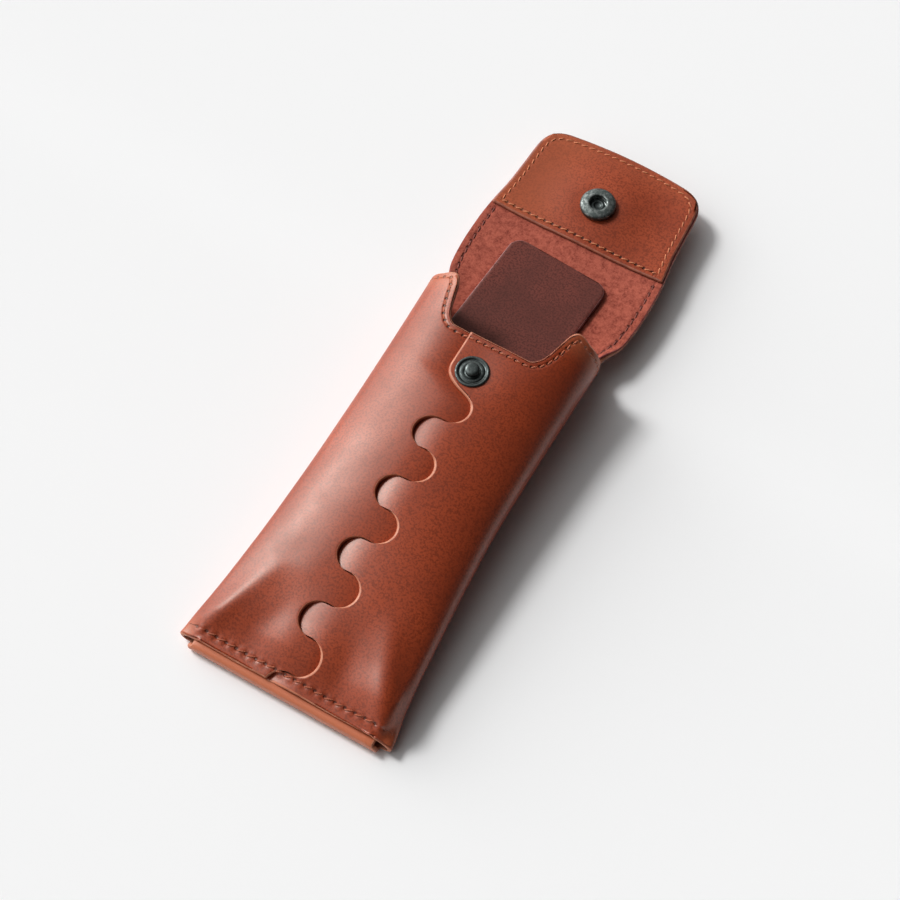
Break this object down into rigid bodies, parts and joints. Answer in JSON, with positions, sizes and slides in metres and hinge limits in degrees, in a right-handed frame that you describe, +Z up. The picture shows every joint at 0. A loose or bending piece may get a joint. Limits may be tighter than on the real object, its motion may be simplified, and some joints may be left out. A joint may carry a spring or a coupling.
{
  "type": "watch pouch",
  "caption": "Leather watch pouch with an interlocking scalloped front seam, a flap that folds over the mouth onto a snap, and a flat leather insert.",
  "frame": {"origin": "middle of the underside of the bounding box, with the pouch lying on its back and the flap open", "axes": "+Y from the stitched bottom edge to the flap's tip, +X to the right seen from the front, +Z up out of the front"},
  "size_m": [0.0832, 0.2494, 0.0289],
  "materials": {
    "tan_leather": "smooth vegetable-tanned leather, semi-matt",
    "suede": "fine suede nap, matt",
    "snap_metal": "dark gunmetal, half gloss",
    "insert_leather": "smooth, satin"
  },
  "bodies": {
    "pouch": {"outer_shell": "tan_leather", "pouch_lining": "suede", "bottom_tab": "tan_leather", "insert_body": "insert_leather", "snap_stud": "snap_metal", "snap_eyelet": "snap_metal"},
    "flap_spine": {"flap_spine_leather": "tan_leather", "flap_spine_suede": "suede", "insert_end": "insert_leather"},
    "flap_tip": {"flap_tip_leather": "tan_leather", "flap_tip_suede": "suede", "flap_facing": "tan_leather", "snap_cap": "snap_metal", "snap_socket": "snap_metal", "snap_spring": "snap_metal"}
  },
  "joints": [
    {"name": "flap_root_fold", "type": "hinge", "parent": "pouch", "child": "flap_spine", "pos_m": [0, 0.03798, 0.0026], "axis": [1, 0, 0], "range_deg": [0, 93.46]},
    {"name": "flap_tip_fold", "type": "hinge", "parent": "flap_spine", "child": "flap_tip", "pos_m": [0, 0.06655, 0.00346], "axis": [1, 0, 0], "range_deg": [0, 84.81]}
  ]
}
